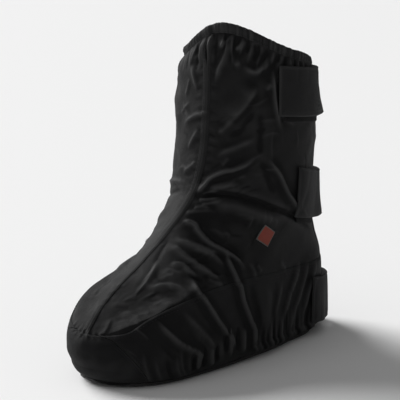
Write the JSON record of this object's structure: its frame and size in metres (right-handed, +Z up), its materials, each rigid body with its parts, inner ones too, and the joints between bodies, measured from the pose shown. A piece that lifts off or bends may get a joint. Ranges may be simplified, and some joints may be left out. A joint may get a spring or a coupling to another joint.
{
  "type": "winter overshoe",
  "caption": "Insulated cloth overshoe with a round shaft, felled front seam, toe cap, side bands, elastic collar and hook-and-loop straps behind.",
  "frame": {"origin": "on the floor, at the middle of the whole overshoe's box", "axes": "+Z up, toe toward -Y, heel toward +Y, outer side of the left foot toward +X"},
  "size_m": [0.1456, 0.3396, 0.3389],
  "materials": {
    "shell_cloth": "fine plain weave, slightly glossy coating",
    "tough_cloth": "heavier coated weave, matt",
    "strap_tape": "woven tape with hooks on its inner face",
    "loop_pile": "brushed loop pile",
    "hem_cloth": "gathered casing over elastic",
    "sole_sheet": "matt, fine grain",
    "insole_felt": "dense felt",
    "label_cloth": "woven, bare"
  },
  "bodies": {
    "root": {"upper": "shell_cloth", "front_seam": "shell_cloth", "toe_cap": "tough_cloth", "band_outer_side": "tough_cloth", "band_inner_side": "tough_cloth", "back_flap": "shell_cloth", "collar_hem": "hem_cloth", "strap_top": "strap_tape", "strap_middle": "strap_tape", "strap_heel": "strap_tape", "loop_patch_top": "loop_pile", "loop_patch_middle": "loop_pile", "loop_patch_heel": "loop_pile", "label": "label_cloth", "outsole": "sole_sheet", "insole": "insole_felt"}
  },
  "joints": []
}
